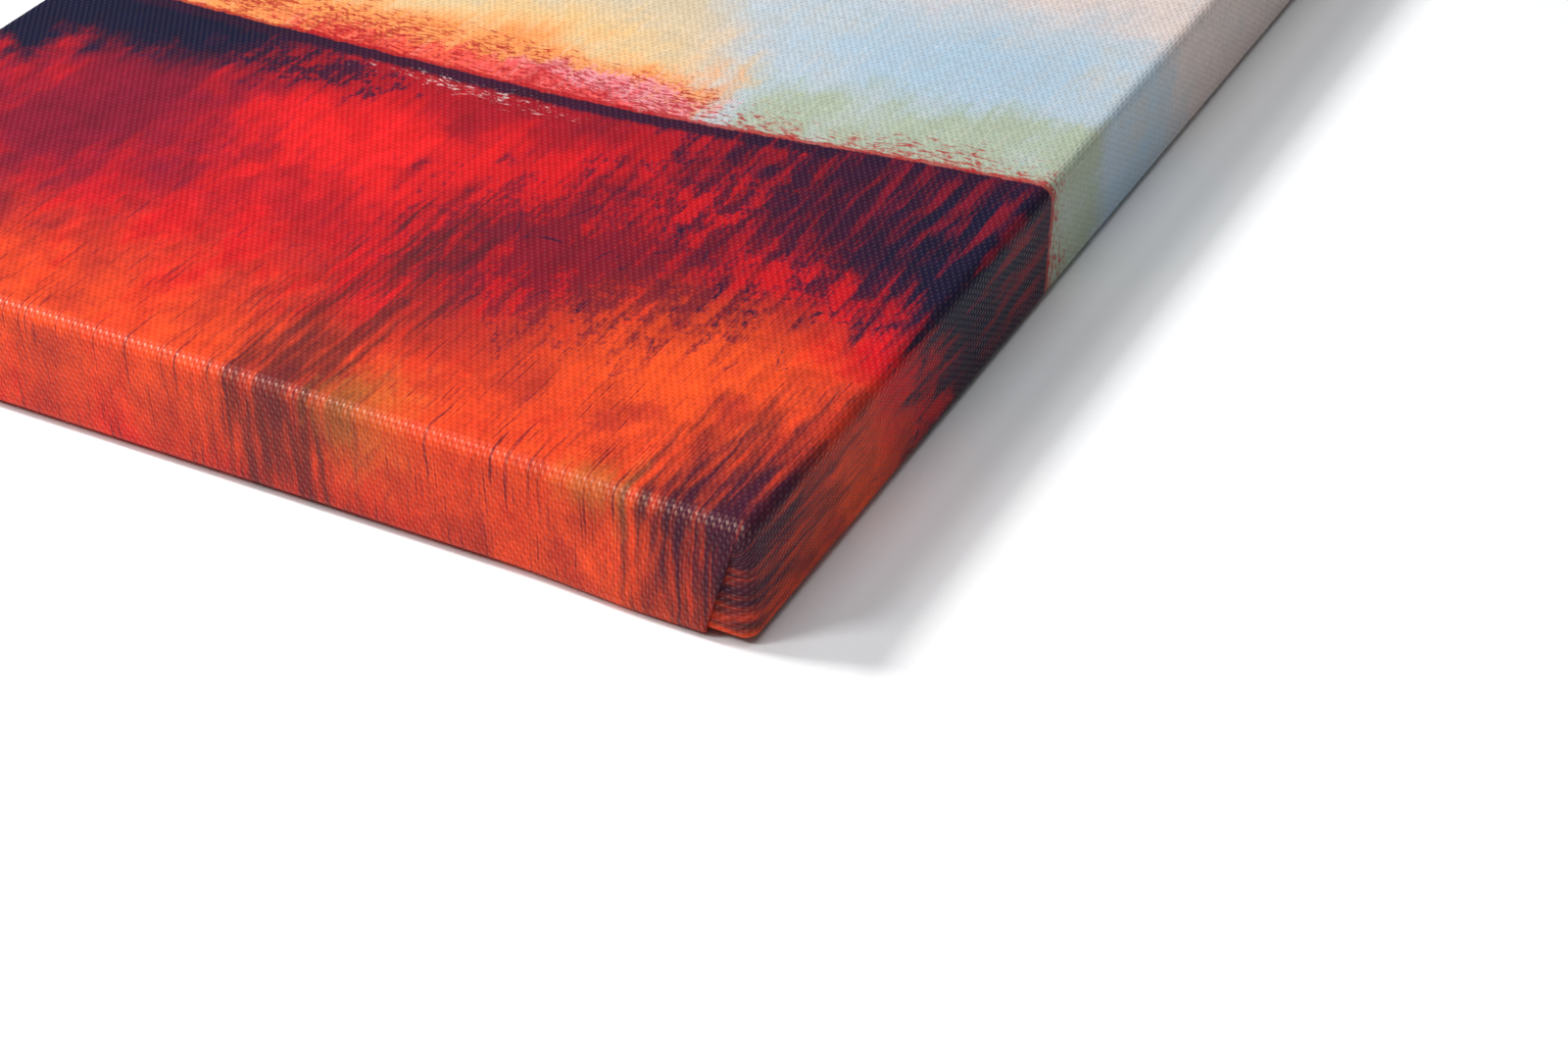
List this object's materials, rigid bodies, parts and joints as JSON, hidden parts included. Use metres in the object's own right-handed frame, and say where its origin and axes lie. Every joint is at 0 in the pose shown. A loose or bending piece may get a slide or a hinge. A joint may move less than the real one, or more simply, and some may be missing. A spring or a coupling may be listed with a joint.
{
  "type": "stretched canvas",
  "caption": "Printed cotton canvas wrapped over a mitred, keyed wooden stretcher frame, stapled on the back, with corner keys and a sawtooth hanger.",
  "frame": {"origin": "middle of the back, level with the folded cloth corners that the canvas rests on", "axes": "+X across the picture to the right, +Y up the picture, +Z out of the painted face"},
  "size_m": [0.201, 0.303, 0.022],
  "materials": {
    "printed_canvas": "coated cotton duck, printed on the face and the sides",
    "pine": "planed, unfinished pine",
    "beech": "sawn, unfinished beech",
    "staple_steel": "galvanised staple wire",
    "hanger_brass": "brass-plated pressed steel"
  },
  "bodies": {
    "frame": {"canvas": "printed_canvas", "bar_bottom": "pine", "bar_right": "pine", "bar_top": "pine", "bar_left": "pine", "staples_bottom": "staple_steel", "staples_right": "staple_steel", "staples_top": "staple_steel", "staples_left": "staple_steel", "hanger_plate": "hanger_brass", "hanger_nails": "hanger_brass"},
    "key_bottom_bar_right": {"key_bottom_bar_right": "beech"},
    "key_bottom_bar_left": {"key_bottom_bar_left": "beech"},
    "key_right_bar_top": {"key_right_bar_top": "beech"},
    "key_right_bar_bottom": {"key_right_bar_bottom": "beech"},
    "key_top_bar_left": {"key_top_bar_left": "beech"},
    "key_top_bar_right": {"key_top_bar_right": "beech"},
    "key_left_bar_bottom": {"key_left_bar_bottom": "beech"},
    "key_left_bar_top": {"key_left_bar_top": "beech"}
  },
  "joints": [
    {"name": "key_bottom_bar_right_slide", "type": "slide", "parent": "frame", "child": "key_bottom_bar_right", "axis": [0, 1, 0], "range_m": [0, 0.016]},
    {"name": "key_bottom_bar_left_slide", "type": "slide", "parent": "frame", "child": "key_bottom_bar_left", "axis": [0, 1, 0], "range_m": [0, 0.016]},
    {"name": "key_right_bar_top_slide", "type": "slide", "parent": "frame", "child": "key_right_bar_top", "axis": [-1, 0, 0], "range_m": [0, 0.016]},
    {"name": "key_right_bar_bottom_slide", "type": "slide", "parent": "frame", "child": "key_right_bar_bottom", "axis": [-1, 0, 0], "range_m": [0, 0.016]},
    {"name": "key_top_bar_left_slide", "type": "slide", "parent": "frame", "child": "key_top_bar_left", "axis": [0, -1, 0], "range_m": [0, 0.016]},
    {"name": "key_top_bar_right_slide", "type": "slide", "parent": "frame", "child": "key_top_bar_right", "axis": [0, -1, 0], "range_m": [0, 0.016]},
    {"name": "key_left_bar_bottom_slide", "type": "slide", "parent": "frame", "child": "key_left_bar_bottom", "axis": [1, 0, 0], "range_m": [0, 0.016]},
    {"name": "key_left_bar_top_slide", "type": "slide", "parent": "frame", "child": "key_left_bar_top", "axis": [1, 0, 0], "range_m": [0, 0.016]}
  ]
}
